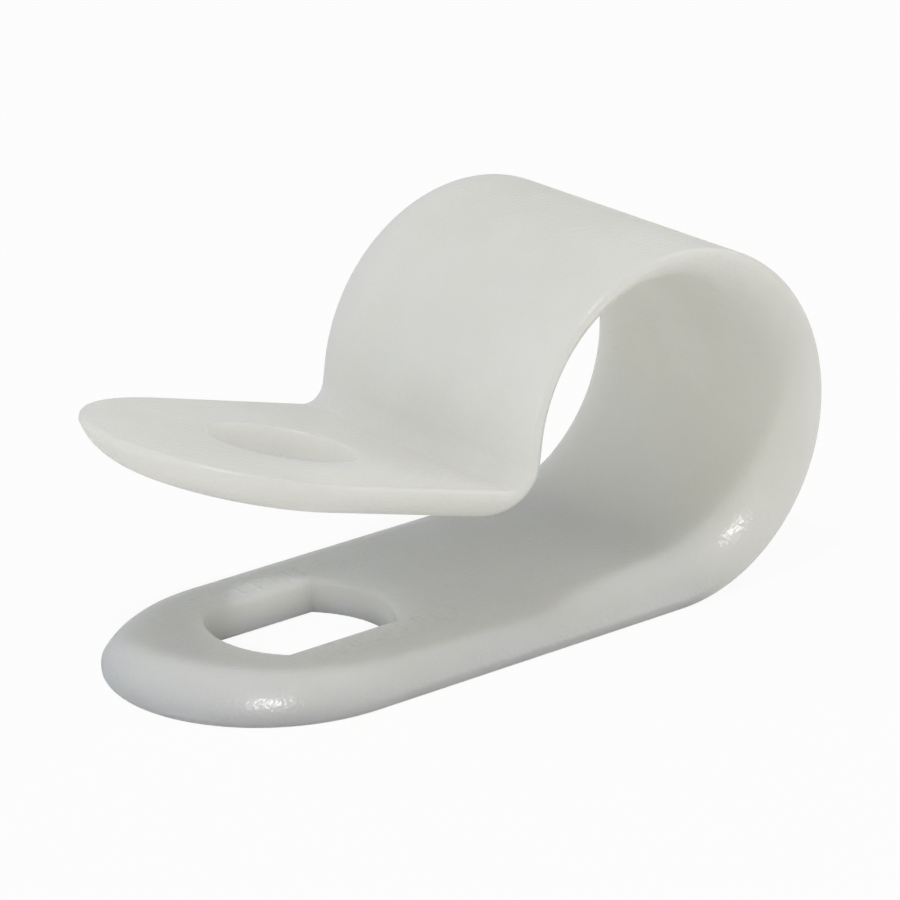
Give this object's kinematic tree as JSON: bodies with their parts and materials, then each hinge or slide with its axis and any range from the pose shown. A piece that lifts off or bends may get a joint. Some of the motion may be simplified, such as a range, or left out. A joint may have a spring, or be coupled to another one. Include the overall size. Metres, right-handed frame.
{
  "type": "p clip",
  "caption": "One-piece nylon P clip: a flat slotted leg, an open round loop for a cable, and a tab with a screw hole that closes onto the leg.",
  "frame": {"origin": "centre of the leg's fixing slot, on the leg's flat outer face, which lies on the panel", "axes": "+X along the leg from the slot towards the loop, +Y across the strap, +Z away from the panel"},
  "size_m": [0.0276, 0.0126, 0.0139],
  "materials": {
    "natural_nylon": "natural nylon, faintly translucent, with a fine moulded texture"
  },
  "bodies": {
    "root": {"clip_strap": "natural_nylon"}
  },
  "joints": []
}
